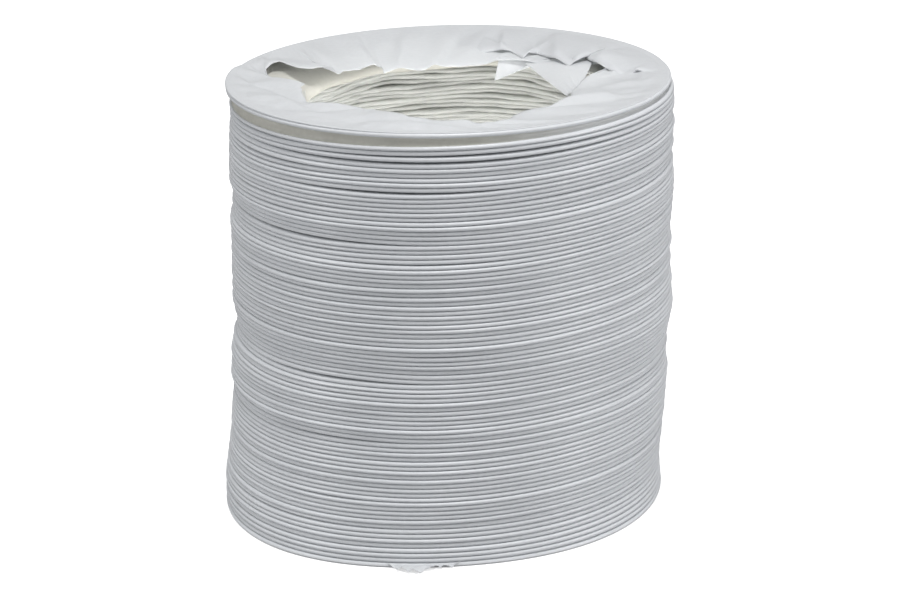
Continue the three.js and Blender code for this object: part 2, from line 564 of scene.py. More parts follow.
@dataclass(frozen=True)
class FilmFinish:
    """White PVC film.

    clear and clouded are its two tones, cloud_scale how broad the clouds are, smooth and rough its gloss range,
    crease_scale and crease_depth the size of its fine crinkles, bump how strongly they show, through and
    warm how much light it lets through and in what tint.
    """

    name: str
    clear: tuple[float, float, float]
    clouded: tuple[float, float, float]
    cloud_scale: float = 60.0
    smooth: float = 0.34
    rough: float = 0.52
    crease_scale: float = 180.0
    crease_depth: float = 0.6
    ripple_scale: float = 600.0
    ripple_depth: float = 0.3
    bump: float = 0.25
    bump_reach: float = 0.00012
    through: float = 0.35  # the share of light that the thin film lets through
    warm: tuple[float, float, float] = (0.86, 0.85, 0.78)  # the tint of the light that comes through
    painted_bore_light: tuple[float, float, float] | None = None  # painted light: a paler colour on the folds inside the bore, for the light that reaches them there
    inner_through: float = 0.5  # the share of light that the folds inside the bore let through
    bore_reach: tuple[float, float] = (0.047, 0.040)  # from and up to where it takes the painted bore light, in metres
    painted_light_side: tuple[float, float] | None = None  # painted light: where it turns paler to the right, from and to, in metres
    # the paler tone painted on the lit right side
    pale: tuple[float, float, float] = (0.78, 0.79, 0.80)

    def build(self, tone: bpy.types.NodeTree, crinkle: bpy.types.NodeTree) -> bpy.types.Material:
        """Make the finish's material.

        Args:
            tone: the film_tone group.
            crinkle: the film_crinkle group.

        Returns:
            The material.
        """
        material = bpy.data.materials.new(self.name)
        material.use_nodes = True
        nodes, links = material.node_tree.nodes, material.node_tree.links
        shader = nodes["Principled BSDF"]
        shader.inputs["IOR"].default_value = 1.5
        shader.inputs["Specular IOR Level"].default_value = 0.5
        tones = nodes.new("ShaderNodeGroup")
        tones.node_tree = tone
        tones.inputs["Clear"].default_value = (*self.clear, 1)
        tones.inputs["Clouded"].default_value = (*self.clouded, 1)
        tones.inputs["Cloud Scale"].default_value = self.cloud_scale
        links.new(self.with_painted_light(material, tones.outputs["Color"]), shader.inputs["Base Color"])
        gloss = nodes.new("ShaderNodeMapRange")
        gloss.inputs["To Min"].default_value = self.smooth
        gloss.inputs["To Max"].default_value = self.rough
        links.new(tones.outputs["Gloss"], gloss.inputs["Value"])
        links.new(gloss.outputs["Result"], shader.inputs["Roughness"])
        crinkles = nodes.new("ShaderNodeGroup")
        crinkles.node_tree = crinkle
        crinkles.inputs["Crease Scale"].default_value = self.crease_scale
        crinkles.inputs["Crease Depth"].default_value = self.crease_depth
        crinkles.inputs["Ripple Scale"].default_value = self.ripple_scale
        crinkles.inputs["Ripple Depth"].default_value = self.ripple_depth
        bump = nodes.new("ShaderNodeBump")
        bump.inputs["Strength"].default_value = self.bump
        bump.inputs["Distance"].default_value = self.bump_reach
        links.new(crinkles.outputs["Height"], bump.inputs["Height"])
        links.new(bump.outputs["Normal"], shader.inputs["Normal"])
        behind = nodes.new("ShaderNodeBsdfTranslucent")
        behind.inputs["Color"].default_value = (*self.warm, 1)
        links.new(bump.outputs["Normal"], behind.inputs["Normal"])
        mix = nodes.new("ShaderNodeMixShader")
        mix.inputs["Fac"].default_value = self.through
        if self.painted_bore_light:
            share = nodes.new("ShaderNodeMapRange")
            share.inputs["To Min"].default_value = self.through
            share.inputs["To Max"].default_value = self.inner_through
            links.new(self.inside(material), share.inputs["Value"])
            links.new(share.outputs["Result"], mix.inputs["Fac"])
        links.new(shader.outputs["BSDF"], mix.inputs[1])
        links.new(behind.outputs["BSDF"], mix.inputs[2])
        links.new(mix.outputs["Shader"], nodes["Material Output"].inputs["Surface"])
        return material

    def inside(self, material: bpy.types.Material) -> bpy.types.NodeSocket:
        """Mask the folds inside the bore by their distance from the hose's axis.

        Args:
            material: the material that is being built.

        Returns:
            A value that is 1 on the folds and 0 on the beads outside.
        """
        nodes, links = material.node_tree.nodes, material.node_tree.links
        place = nodes.new("ShaderNodeTexCoord")
        flat = nodes.new("ShaderNodeVectorMath")
        flat.operation = "MULTIPLY"
        flat.inputs[1].default_value = (1, 1, 0)
        links.new(place.outputs["Object"], flat.inputs[0])
        far = nodes.new("ShaderNodeVectorMath")
        far.operation = "LENGTH"
        links.new(flat.outputs["Vector"], far.inputs[0])
        return self.ramp(material, far.outputs["Value"], self.bore_reach)

    def ramp(
        self, material: bpy.types.Material, value: bpy.types.NodeSocket, reach: tuple[float, float]
    ) -> bpy.types.NodeSocket:
        """Make a soft step from 0 to 1.

        Args:
            material: the material that is being built.
            value: what the step runs along.
            reach: the values where it starts and where it ends.

        Returns:
            The step's value.
        """
        step = material.node_tree.nodes.new("ShaderNodeMapRange")
        step.interpolation_type = "SMOOTHSTEP"
        step.inputs["From Min"].default_value, step.inputs["From Max"].default_value = reach
        material.node_tree.links.new(value, step.inputs["Value"])
        return step.outputs["Result"]

    def with_painted_light(self, material: bpy.types.Material, color: bpy.types.NodeSocket) -> bpy.types.NodeSocket:
        """Paint light into the film's colour where it has it: a paler tone on the folds inside the bore, and a
        paler right side.

        Args:
            material: the material that is being built.
            color: the film's own colour.

        Returns:
            The colour that the shader takes.
        """
        nodes, links = material.node_tree.nodes, material.node_tree.links
        tints = []
        # painted light: the folds inside the bore take a paler tone
        if self.painted_bore_light:
            tints.append((self.inside(material), self.painted_bore_light))
        # painted light: the lit right side takes a paler tone
        if self.painted_light_side:
            parts = nodes.new("ShaderNodeSeparateXYZ")
            links.new(nodes.new("ShaderNodeTexCoord").outputs["Object"], parts.inputs["Vector"])
            tints.append((self.ramp(material, parts.outputs["X"], self.painted_light_side), self.pale))
        for mask, tint in tints:
            mix = nodes.new("ShaderNodeMix")
            mix.data_type = "RGBA"
            links.new(mask, mix.inputs["Factor"])
            links.new(color, mix.inputs["A"])
            mix.inputs["B"].default_value = (*tint, 1)
            color = mix.outputs["Result"]
        return color


@dataclass(frozen=True)
class WireFinish:
    """Drawn spring steel, with fine lines along it and a thin dull oxide in patches."""

    name: str = "drawn_spring_steel"
    bright: tuple[float, float, float] = (0.58, 0.58, 0.59)
    dull: tuple[float, float, float] = (0.36, 0.35, 0.34)
    patch_scale: float = 220.0
    smooth: float = 0.24
    rough: float = 0.5

    def build(self, tone: bpy.types.NodeTree) -> bpy.types.Material:
        """Make the finish's material.

        Args:
            tone: the film_tone group, for the oxide patches.

        Returns:
            The material.
        """
        material = bpy.data.materials.new(self.name)
        material.use_nodes = True
        nodes, links = material.node_tree.nodes, material.node_tree.links
        shader = nodes["Principled BSDF"]
        shader.inputs["Metallic"].default_value = 1.0
        patches = nodes.new("ShaderNodeGroup")
        patches.node_tree = tone
        patches.inputs["Clear"].default_value = (*self.bright, 1)
        patches.inputs["Clouded"].default_value = (*self.dull, 1)
        patches.inputs["Cloud Scale"].default_value = self.patch_scale
        links.new(patches.outputs["Color"], shader.inputs["Base Color"])
        gloss = nodes.new("ShaderNodeMapRange")
        gloss.inputs["To Min"].default_value = self.smooth
        gloss.inputs["To Max"].default_value = self.rough
        links.new(patches.outputs["Gloss"], gloss.inputs["Value"])
        links.new(gloss.outputs["Result"], shader.inputs["Roughness"])
        return material


@dataclass(frozen=True)
class Finishes:
    """The hose's materials, one for each slot."""

    wall: bpy.types.Material
    loose: bpy.types.Material
    neck: bpy.types.Material
    liner: bpy.types.Material
    wire: bpy.types.Material

    @staticmethod
    def make() -> "Finishes":
        """Build the shared groups and the materials.

        Returns:
            The materials, one for each kind of surface.
        """
        tone, crinkle = film_tone_group(), film_crinkle_group()
        wall = FilmFinish(
            "bonded_white_film",
            clear=(0.73, 0.75, 0.775),
            clouded=(0.68, 0.70, 0.725),
            crease_scale=420.0,
            crease_depth=0.4,
            smooth=0.27,
            rough=0.40,
            bump=0.14,
            through=0.12,
            warm=(0.83, 0.835, 0.81),
            # painted light: the folds inside the bore are painted paler than the beads, for the light that reaches
            # them
            painted_bore_light=(0.79, 0.80, 0.78),
            inner_through=0.5,
        )
        loose = FilmFinish(
            "loose_white_film",
            clear=(0.755, 0.77, 0.79),
            clouded=(0.715, 0.73, 0.75),
            warm=(0.86, 0.87, 0.87),
            cloud_scale=40.0,
            crease_scale=130.0,
            bump=0.35,
            through=0.32,
        )
        # painted shade: the neck's beige-grey stands for the shade under the rim bead and the dark bore seen
        # through the single layer; its right side is painted paler, as painted light where the light falls
        neck = FilmFinish(
            "neck_film_single_layer",
            clear=(0.71, 0.705, 0.64),
            clouded=(0.62, 0.615, 0.555),
            smooth=0.4,
            rough=0.6,
            through=0.3,
            painted_light_side=(0.004, 0.034),
        )
        # painted shade: the drooping film's darker beige-grey stands for the shade under the collar, warmed by the
        # light that comes through the film
        liner = FilmFinish(
            "inner_film_single_layer",
            clear=(0.66, 0.65, 0.595),
            clouded=(0.61, 0.60, 0.55),
            smooth=0.4,
            rough=0.6,
            through=0.2,
        )
        return Finishes(
            wall=wall.build(tone, crinkle),
            loose=loose.build(tone, crinkle),
            neck=neck.build(tone, crinkle),
            liner=liner.build(tone, crinkle),
            wire=WireFinish().build(tone),
        )


def dress(piece: bpy.types.Object, material: bpy.types.Material) -> None:
    """Give a piece its material.

    Args:
        piece: the piece.
        material: its material.
    """
    piece.data.materials.append(material)


# ---------------------------------------------------------------------------------------------------------
# Sub-assemblies
# ---------------------------------------------------------------------------------------------------------


@dataclass(frozen=True)
class Reach:
    """A stretch of the wall that spans one joint, from one turn to another."""

    number: int
    first: float
    last: float

    @property
    def bodies(self) -> tuple[str, str]:
        """The bands on the two sides of the joint."""
        return f"band_{self.number:02d}", f"band_{self.number + 1:02d}"


def wall_reaches(stack: Stack) -> list[Reach]:
    """Return the stretches of wall, one over each joint between two bands.

    The wall gives over two turns at a bend, and over most of the height between the bends where it stretches.

    Args:
        stack: the shape of the stack, which turns the heights of the hinges into turns.

    Returns:
        The stretches, from the bottom up.
    """
    hinges = [joint["pos_m"][2] for joint in frame["joints"] if joint["type"] == "hinge"]
    planes = [round((height + BAND_GAP / 2 - stack.base) / stack.pitch * 2) / 2 for height in hinges]
    ends = [end for plane in planes for end in (plane - 2.5, plane + 0.5)]
    middles = [(below + above) / 2 for below, above in zip(ends[1::2], ends[2::2])]
    ends = sorted([0.0, *ends, *middles, TURN_COUNT - 1.0])
    return [Reach(number, first, last) for number, (first, last) in enumerate(zip(ends, ends[1:]), start=1)]


@dataclass
class FilmWall:
    """The bonded film: a bead over every wire turn and one inward pleat between two turns."""

    stack: Stack
    steps: int = 192  # columns in a turn
    pleat_radius: float = 35.4 * MM
    tip_half: float = 0.50 * MM  # half the height of a fold near its tip
    slit_half: float = 0.09 * MM  # half the height of the slit between two leaves, at least
    bead_gap: float = 0.05 * MM  # half the height of the slit between two beads, at least
    bead_steps: tuple[int, ...] = (0, 32, 62)  # degrees round the bead
    bead_square: float = 0.8  # below 1 the bead's section is squarer than a circle
    tip_wave: Ripple = Ripple(seed=5, size=0.55 * MM, around=9, drift=0.4, parts=24)
    tip_fine: Ripple = Ripple(seed=6, size=0.25 * MM, around=30, drift=0.5, parts=24)
    leaf_wave: Ripple = Ripple(seed=7, size=0.30 * MM, around=7, drift=0.16, parts=24)

    def column(self, turns: np.ndarray) -> np.ndarray:
        """Return the film's section over one pitch, from each place's bead to the bead above.

        Args:
            turns: places on the helix.

        Returns:
            Points, first by place and then along the section. The last point is the next turn's first.
        """
        stack, bead = self.stack, self.stack.bead_radius
        low, high = stack.height(turns), stack.height(turns + 1)
        below, above = stack.radius(turns), stack.radius(turns + 1)
        middle = (low + high) / 2
        room = np.minimum(bead, (high - low) / 2 - self.bead_gap)
        tip = self.pleat_radius + self.tip_wave.at(turns) + self.tip_fine.at(turns)
        wave = self.leaf_wave.at(turns)
        outer = np.minimum(below, above)
        inward = outer - tip
        slit = np.maximum(self.slit_half, (high - low) / 2 - room)
        leaf = (
            (0.05 * inward, slit, 0.0),
            (0.45 * inward, 0.5 * (slit + self.slit_half), 0.6),
            (inward - 0.55 * MM, self.tip_half, 1.0),
            (inward - 0.12 * MM, 0.7 * self.tip_half, 1.0),
        )
        points = []
        for degrees in self.bead_steps:
            angle = math.radians(degrees)
            points.append((below + bead * math.cos(angle) ** self.bead_square, low + room * math.sin(angle)))
        points.append((below - 0.02 * MM, low + room * 0.995))
        points += [(outer - depth, middle - half + share * wave) for depth, half, share in leaf]
        points.append((tip, middle + wave))
        points += [(outer - depth, middle + half + share * wave) for depth, half, share in reversed(leaf)]
        points.append((above - 0.02 * MM, high - room * 0.995))
        for degrees in reversed(self.bead_steps[1:]):
            angle = math.radians(degrees)
            points.append((above + bead * math.cos(angle) ** self.bead_square, high - room * math.sin(angle)))
        return np.stack([stack.place(turns, radius, height) for radius, height in points], axis=1)

    def build(self, reach: Reach) -> bpy.types.Object:
        """Make the film of one stretch.

        Args:
            reach: the stretch.

        Returns:
            The piece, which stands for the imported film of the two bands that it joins.
        """
        count = round((reach.last - reach.first) * self.steps)
        turns = reach.first + np.arange(count + self.steps + 1) / self.steps
        sections = self.column(turns)
        rows = sections.shape[1]
        body = sections[: count + 1].reshape(-1, 3)
        closing = sections[count + 1 :, 0]
        points = np.concatenate([body, closing])

        def number(column: int, row: int) -> int:
            """Find a vertex of the section, whose last row is the next turn's first.

            Args:
                column: how many steps round the helix.
                row: how far along the section.

            Returns:
                The vertex number.
            """
            if row < rows:
                return column * rows + row
            upper = column + self.steps
            return upper * rows if upper <= count else (count + 1) * rows + upper - count - 1

        faces = []
        for column in range(count):
            for row in range(rows):
                here, there = number(column, row), number(column + 1, row)
                faces.append((here, there, number(column + 1, row + 1), number(column, row + 1)))
        piece = make_piece(f"film_wall_{reach.number:02d}", points, faces)
        below, above = reach.bodies
        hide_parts(f"film_pleats_{below[-2:]}", f"film_pleats_{above[-2:]}")
        return piece


@dataclass
class WireHelix:
    """The spring wire under the film."""

    stack: Stack
    steps: int = 72
    sides: int = 8

    def build(self, reach: Reach) -> bpy.types.Object:
        """Make the wire of one stretch. The last stretch runs on to the wire's top turn.

        Args:
            reach: the stretch.

        Returns:
            The piece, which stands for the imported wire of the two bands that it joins.
        """
        last = reach.last + 1 if reach.last == TURN_COUNT - 1 else reach.last
        count = round((last - reach.first) * self.steps)
        turns = np.linspace(reach.first, last, count + 1)
        path = self.stack.place(turns, self.stack.radius(turns), self.stack.height(turns))
        piece = tube(f"wire_{reach.number:02d}", path, WIRE_RADIUS, self.sides)
        below, above = reach.bodies
        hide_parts(f"wire_turns_{below[-2:]}", f"wire_turns_{above[-2:]}")
        return piece


def bend_over_joint(piece: bpy.types.Object, stack: Stack, reach: Reach) -> None:
    """Work out where a stretch of wall meets the two bands of its joint, which is not used further, and bake its
    placement into its mesh.

    Args:
        piece: the film or the wire of the stretch.
        stack: where the wire runs.
        reach: the stretch.
    """
    lower = np.linspace(reach.first, reach.first + 1, 64)
    upper = np.linspace(reach.last, reach.last + 1, 64)
    start = float(stack.height(lower).max()) + 0.05 * MM
    end = float(stack.height(upper).min()) - 0.05 * MM
    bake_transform(piece)


@dataclass
class TopEnd:
    """The top of the hose: the neck of free film, the rim wire and the torn film folded in over the mouth."""

    stack: Stack
    columns: int = 320
    rim_radius: float = 51.35 * MM
    rim_tilt: float = 0.8 * MM  # how much higher the rim sits on the left than at its middle
    rim_height: float = field(init=False)

    def __post_init__(self) -> None:
        """Read the rim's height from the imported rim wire."""
        low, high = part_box("rim_wire")
        self.rim_height = (low[2] + high[2]) / 2

    def rim(self, turns: np.ndarray, out: np.ndarray | float, up: np.ndarray | float) -> np.ndarray:
        """Return points beside the rim wire's centre.

        Args:
            turns: places round the rim, in turns from the back.
            out: how far out from the wire's centre.
            up: how far above it.

        Returns:
            An array of points, with x, y and z last.
        """
        angle = BACK_ANGLE + turns * 2 * math.pi
        height = self.rim_height - self.rim_tilt * np.cos(angle) + up
        side, back = self.stack.middle(np.full_like(turns, self.rim_height))
        radius = self.rim_radius + out
        return np.stack([radius * np.cos(angle) + side, radius * np.sin(angle) + back, height], axis=-1)

    def build_rim_wire(self) -> bpy.types.Object:
        """Make the rim's turn of wire, which stops just short of its own start.

        Returns:
            The piece.
        """
        turns = np.linspace(0, 0.996, self.columns // 2)
        piece = tube("rim_wire_turn", self.rim(turns, 0, 0), WIRE_RADIUS, 8)
        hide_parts("rim_wire")
        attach(piece, "band_19")
        return piece

    def build_beads(self) -> list[bpy.types.Object]:
        """Make the film over the rim wire, and the upper half of the film over the hose's top turn.

        Returns:
            The two pieces, the top turn's first.
        """
        turns = np.arange(self.columns) / self.columns
        last = TURN_COUNT - 1 + turns
        stack, bead = self.stack, self.stack.bead_radius
        radius, height = stack.radius(last), stack.height(last)
        rows = []
        for degrees in (0, 30, 60, 90, 125):
            across, up = bead * math.cos(math.radians(degrees)), bead * math.sin(math.radians(degrees))
            rows.append(stack.place(last, radius + across, height + up))
        faces = grid_faces(self.columns, len(rows), Facing.ROUND)
        over_turn = make_piece("top_bead", np.stack(rows, 1), faces)
        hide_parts("film_pleats_19")
        rows = []
        for degrees in (-150, -120, -90, -60, -30, 0, 30, 60, 90, 120):
            across, up = math.cos(math.radians(degrees)), math.sin(math.radians(degrees))
            rows.append(self.rim(turns, 1.03 * bead * across, 1.03 * bead * up))
        faces = grid_faces(self.columns, len(rows), Facing.ROUND)
        over_rim = make_piece("rim_bead", np.stack(rows, 1), faces)
        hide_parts("rim_wire")
        for piece in (over_turn, over_rim):
            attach(piece, "band_19")
        return [over_turn, over_rim]

    def build_neck(self) -> bpy.types.Object:
        """Make the free film from the hose's top turn up to the rim.

        Returns:
            The piece.
        """
        turns = np.arange(self.columns) / self.columns
        last = TURN_COUNT - 1 + turns
        stack, bead = self.stack, self.stack.bead_radius
        pucker = Ripple(seed=51, size=0.08 * MM, around=50, drift=0.0, parts=40).at(turns)
        wave = Ripple(seed=52, size=0.12 * MM, around=9, drift=0.0, parts=20).at(turns)
        bottom = stack.place(last, stack.radius(last) - 0.22 * MM, stack.height(last) + 0.9 * bead)
        top = self.rim(turns, -0.30 * MM, -0.9 * bead)
        rows = []
        for share, sag in ((0.0, 0.0), (0.15, 0.30), (0.35, 0.55), (0.6, 0.60), (0.85, 0.35), (1.0, 0.0)):
            row = bottom * (1 - share) + top * share
            loose = math.sin(math.pi * share)
            inward = 1 - (sag * MM - (pucker + wave) * loose) / self.rim_radius
            rows.append(row * np.stack([inward, inward, np.ones_like(inward)], axis=-1))
        points = np.stack(rows, axis=1)
        piece = make_piece("neck_band", points, grid_faces(self.columns, len(rows), Facing.ROUND))
        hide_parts("neck_film")
        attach(piece, "band_19")
        return piece


@dataclass
class InnerSkirt:
    """The free film of the top pleat, which droops inside the mouth over the tips of the next folds."""

    top: TopEnd
    columns: int = 240
    raised_at: float = 0.18  # where the film is drawn up to the collar, in turns from the back
    raised_over: float = 0.17  # how far that runs to each side
    sag: Ripple = Ripple(seed=81, size=0.5 * MM, around=12, drift=0.0, parts=20)
    lean: Ripple = Ripple(seed=82, size=0.35 * MM, around=16, drift=0.0, parts=24)

    def build(self) -> bpy.types.Object:
        """Make the drooping film, from under the rim to its free lower fold.

        Returns:
            The piece.
        """
        turns = np.arange(self.columns) / self.columns
        angle = BACK_ANGLE + turns * 2 * math.pi
        sag, lean = self.sag.at(turns) * 0.6, self.lean.at(turns)
        rows = []
        raised = np.cos(np.clip((turns - self.raised_at) / self.raised_over, -1, 1) * math.pi / 2) ** 2
        for radius, depth, lift, loose in (
            (50.4, 1.4, 0.2, 0.0),
            (47.0, 2.1, 0.9, 0.2),
            (44.0, 2.5, 1.7, 0.3),
            (41.5, 2.7, 1.8, 0.4),
            (39.0, 2.9, 1.4, 0.5),
            (37.0, 3.1, 0.8, 0.6),
            (35.2, 3.4, 0.2, 0.9),
            (34.2, 4.0, 0.0, 1.0),
            (33.8, 4.7, 0.0, 1.0),
            (33.8, 5.3, 0.0, 1.0),
            (34.1, 5.7, 0.0, 1.0),
            (34.8, 5.6, 0.0, 1.0),
        ):
            height = self.top.rim_height - (depth - lift * raised) * MM - loose * sag * depth / 9
            height = height - (1 - loose) * self.top.rim_tilt * np.cos(angle)
            side, back = self.top.stack.middle(height * np.ones_like(turns))
            reach = radius * MM + loose * lean
            rows.append(np.stack([reach * np.cos(angle) + side, reach * np.sin(angle) + back, height], axis=-1))
        points = np.stack(rows, axis=1)
        piece = make_piece("inner_skirt", points, grid_faces(self.columns, len(rows), Facing.ROUND))
        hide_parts("neck_film")
        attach(piece, "band_19")
        return piece


# The torn edge round the mouth, going round from the right by the back: to the right and to the back of the
# rim's middle, in millimetres.
TORN_EDGE = (
    (27.5, -25.0), (27.0, -16.5), (29.0, -9.0), (33.0, -1.5), (37.0, 3.5), (41.0, 0.5),
    (38.0, 7.5), (35.0, 11.0), (28.5, 6.0), (24.5, 12.0), (21.0, 13.0), (17.0, 16.5),
    (12.0, 18.5), (9.0, 14.5), (2.0, 11.5), (-3.0, 12.5), (-5.0, 8.0), (-7.0, 9.0),
    (-10.0, 10.5), (-13.0, 11.0), (-15.0, 8.5), (-15.5, 14.5), (-17.0, 17.0), (-20.5, 12.5),
    (-24.0, 7.5), (-26.5, 2.0), (-27.0, 8.5), (-28.5, 12.0), (-30.5, 12.0), (-32.0, 9.5),
    (-35.0, 10.0), (-37.0, 12.0), (-39.5, 15.0), (-41.5, 14.5), (-43.0, 10.5), (-42.5, 6.5),
    (-41.0, 2.5), (-39.0, -1.5), (-37.0, -4.0), (-34.5, -4.5), (-33.5, -8.0), (-33.5, -13.5),
    (-32.5, -19.5), (-31.0, -23.0), (-27.5, -24.5), (-23.5, -26.5), (-20.0, -28.5), (-16.0, -33.5),
    (-11.5, -38.0), (-9.5, -41.5), (-1.5, -42.0), (2.5, -41.5), (5.5, -44.0), (10.0, -43.5),
    (13.0, -39.5), (15.0, -35.0), (19.0, -32.5), (23.0, -30.5),
)

# The edge of the fold that lies on top of the collar at the back right, from the back to the right, in
# millimetres from the rim's middle: to the right, to the back, and how far it stands above the collar.
FOLD_EDGE = (
    (2.0, 30.0, -0.5), (8.0, 24.5, 0.2), (12.0, 24.5, 0.7), (15.5, 22.0, 0.8),
    (18.0, 16.5, 0.5), (19.5, 19.5, 1.4), (21.5, 20.5, 1.1), (24.5, 14.0, 1.5),
    (27.0, 8.5, 1.4), (28.5, 6.5, 0.8), (29.5, 11.5, 1.6), (32.0, 15.5, 1.2),
    (34.0, 9.0, 1.6), (37.0, 2.5, 1.1), (40.0, -0.5, 0.4), (43.5, 0.5, -0.6),
)


@dataclass(frozen=True)
class Crease:
    """A fold line in the loose film: its two ends in millimetres in plan, its height and its width.

    step tells how it runs: 0 is a ridge (or, with a negative height, a valley), and 1 a fold whose left side, seen
    from its start, stands up and whose right side lies down.
    """

    start: tuple[float, float]
    end: tuple[float, float]
    height: float
    width: float
    step: float = 0.0
    turn_over: float = 0.45  # millimetres over which a fold drops from its high side to its low side

    def lift(self, x: np.ndarray, y: np.ndarray) -> np.ndarray:
        """Return how far the crease lifts each point, in metres.

        Args:
            x: places to the right of the rim's middle.
            y: places to the back of it.

        Returns:
            The lift at each place.
        """
        a, b = np.array(self.start) * MM, np.array(self.end) * MM
        along = b - a
        length = float(np.hypot(*along))
        along = along / length
        share = ((x - a[0]) * along[0] + (y - a[1]) * along[1]) / length
        held = np.clip(share, 0, 1)
        dx, dy = x - (a[0] + held * length * along[0]), y - (a[1] + held * length * along[1])
        beside = along[0] * (y - a[1]) - along[1] * (x - a[0])
        fade = np.exp(-((np.hypot(dx, dy) / (self.width * MM)) ** 1.3))
        drop = (1 - self.step) + self.step * np.tanh(beside / (self.turn_over * MM))
        return self.height * MM * fade * drop * np.sin(math.pi * np.clip(share, 0.06, 0.94)) ** 0.7


CREASES = (
    Crease((-54, 14), (-45, -5), -1.0, 3.2, 1.0),
    Crease((-47, -2), (-38, -8), 0.5, 2.6, 1.0),
    Crease((-42, -9), (-31, -31), -0.9, 3.0, 1.0),
    Crease((-52, 0), (-40, -24), 0.5, 3.2),
    Crease((-37, -30), (-22, -40), 0.35, 2.4, 1.0),
    Crease((-24, -34), (-4, -46), 0.5, 2.6),
    Crease((-18, -42), (8, -49), -0.35, 2.0, 1.0),
    Crease((2, -43), (24, -44), 0.4, 2.2, 1.0),
    Crease((14, -36), (34, -28), -0.4, 2.0, 1.0),
    Crease((28, -26), (46, -20), 0.45, 2.4),
    Crease((30, -12), (41, -28), -0.5, 2.4, 1.0),
    Crease((-46, 22), (-38, 12), 0.6, 2.6),
    Crease((-35, 36), (-27, 8), 0.55, 3.4, 1.0),
    Crease((-22, 46), (-17, 16), -0.5, 3.0, 1.0),
    Crease((-11, 46), (-12, 12), 0.5, 3.6, 1.0),
    Crease((4, 48), (-2, 14), -0.45, 3.4, 1.0),
    Crease((-30, 40), (-6, 30), 0.35, 2.4, 1.0),
    Crease((42, 4), (47, -14), 0.6, 2.4, 1.0),
    Crease((38, -2), (46, -10), -0.6, 1.8, 1.0),
)

FOLD_CREASES = (
    Crease((21, 42), (21, 19), -1.0, 2.2),
    Crease((31, 32), (29, 2), -1.0, 2.0),
    Crease((8, 44), (17.5, 17), -0.6, 2.6, 1.0),
    Crease((45, 18), (40.5, -6), -0.8, 2.0),
    Crease((26, 42), (25, 10), 0.8, 2.6, 1.0),
    Crease((38, 30), (34.5, 6), 0.8, 2.4, 1.0),
    Crease((14, 46), (12.5, 24), 0.7, 2.4, 1.0),
    Crease((46, 4), (38, -8), 0.8, 2.2, 1.0),
    Crease((30, 38), (42, 10), -0.5, 2.0, 1.0),
)


